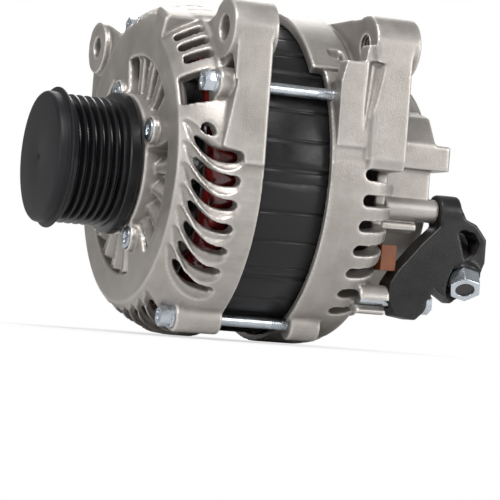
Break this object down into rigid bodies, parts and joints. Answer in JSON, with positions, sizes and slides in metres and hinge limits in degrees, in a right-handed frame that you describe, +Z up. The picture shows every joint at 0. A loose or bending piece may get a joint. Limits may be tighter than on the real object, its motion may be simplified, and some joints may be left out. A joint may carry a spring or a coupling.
{
  "type": "car alternator",
  "caption": "Belt-driven car alternator with an overrunning grooved pulley, ventilated cast brackets with mounting lugs, a claw-pole rotor and a rear support bracket.",
  "frame": {"origin": "on the rotor axis, level with the front face of the near front mounting lug", "axes": "+X along the rotor shaft to the rear, away from the pulley; +Z up, between the upper mounting lugs; +Y across to the far lugs"},
  "size_m": [0.19, 0.149, 0.1475],
  "materials": {
    "cast_aluminium": "satin as-cast, fine blasted grain",
    "plain_aluminium": "satin stamped",
    "core_black": "satin black varnish over steel laminations",
    "winding_red": "glossy dark red enamelled copper wire",
    "zinc_steel": "bright zinc plate",
    "steel": "ground steel",
    "pole_steel": "forged steel, turned outside",
    "pulley_black": "gloss black electrocoat",
    "cap_plastic": "matt moulded, dark grey",
    "black_plastic": "matt moulded, black",
    "black_casting": "satin black coated casting",
    "brown_resin": "dark orange-brown varnished resin",
    "seal_rubber": "matt rubber",
    "brass": "bright copper alloy",
    "carbon": "pressed carbon"
  },
  "bodies": {
    "housing": {"front_bracket": "cast_aluminium", "rear_bracket": "cast_aluminium", "rear_cover": "cast_aluminium", "stator_core": "core_black", "stator_winding": "winding_red", "through_bolts": "zinc_steel", "bearing_retainer": "steel", "retainer_screws": "zinc_steel", "front_bearing_outer": "steel", "front_bearing_seals": "seal_rubber", "rear_bearing_outer": "steel", "rear_bearing_seals": "seal_rubber", "rear_bearing_sleeve": "black_plastic", "cover_screws": "zinc_steel", "negative_heat_sink": "plain_aluminium", "positive_heat_sink": "plain_aluminium", "diodes": "steel", "rectifier_spacers": "black_plastic", "rectifier_screws": "zinc_steel", "rectifier_terminals": "black_plastic", "regulator": "black_plastic", "brush_holder": "black_plastic", "front_brush_spring": "steel", "rear_brush_spring": "steel", "connector_socket": "black_plastic", "connector_pins": "brass", "output_stud": "zinc_steel", "output_insulator": "black_plastic", "output_nut": "zinc_steel", "support_bracket": "black_casting", "support_bolts": "zinc_steel", "support_stud": "black_casting", "support_nut": "zinc_steel", "lead_block": "brown_resin"},
    "rotor": {"shaft": "steel", "front_claw_pole": "pole_steel", "rear_claw_pole": "pole_steel", "field_coil": "winding_red", "coil_bobbin": "black_plastic", "front_fan": "steel", "rear_fan": "steel", "slip_rings": "brass", "slip_ring_sleeve": "black_plastic", "front_bearing_inner": "steel", "rear_bearing_inner": "steel", "front_spacer": "steel", "clutch_hub": "steel"},
    "pulley": {"pulley_ring": "pulley_black", "dust_cap": "cap_plastic", "clutch_rollers": "steel", "clutch_bushes": "brass"},
    "front_cage": {"front_bearing_balls": "steel", "front_bearing_cage": "brass"},
    "rear_cage": {"rear_bearing_balls": "steel", "rear_bearing_cage": "brass"},
    "brush_front": {"front_brush": "carbon"},
    "brush_rear": {"rear_brush": "carbon"}
  },
  "joints": [
    {"name": "rotor_spin", "type": "hinge", "parent": "housing", "child": "rotor", "pos_m": [0, 0, 0], "axis": [1, 0, 0], "continuous": true},
    {"name": "pulley_overrun", "type": "hinge", "parent": "rotor", "child": "pulley", "pos_m": [-0.0355, 0, 0], "axis": [1, 0, 0], "continuous": true},
    {"name": "front_cage_spin", "type": "hinge", "parent": "housing", "child": "front_cage", "pos_m": [-0.01, 0, 0], "axis": [1, 0, 0], "continuous": true},
    {"name": "rear_cage_spin", "type": "hinge", "parent": "housing", "child": "rear_cage", "pos_m": [0.0775, 0, 0], "axis": [1, 0, 0], "continuous": true},
    {"name": "front_brush_slide", "type": "slide", "parent": "housing", "child": "brush_front", "axis": [0, 0, 1], "range_m": [0, 0.004], "stiffness_N_per_m": 250, "springref_m": -0.008, "deforming": ["front_brush_spring"]},
    {"name": "rear_brush_slide", "type": "slide", "parent": "housing", "child": "brush_rear", "axis": [0, 0, 1], "range_m": [0, 0.004], "stiffness_N_per_m": 250, "springref_m": -0.008, "deforming": ["rear_brush_spring"]}
  ],
  "couplings": [
    {"joint": "front_cage_spin", "follows": "rotor_spin", "ratio": 0.3844},
    {"joint": "rear_cage_spin", "follows": "rotor_spin", "ratio": 0.396}
  ]
}
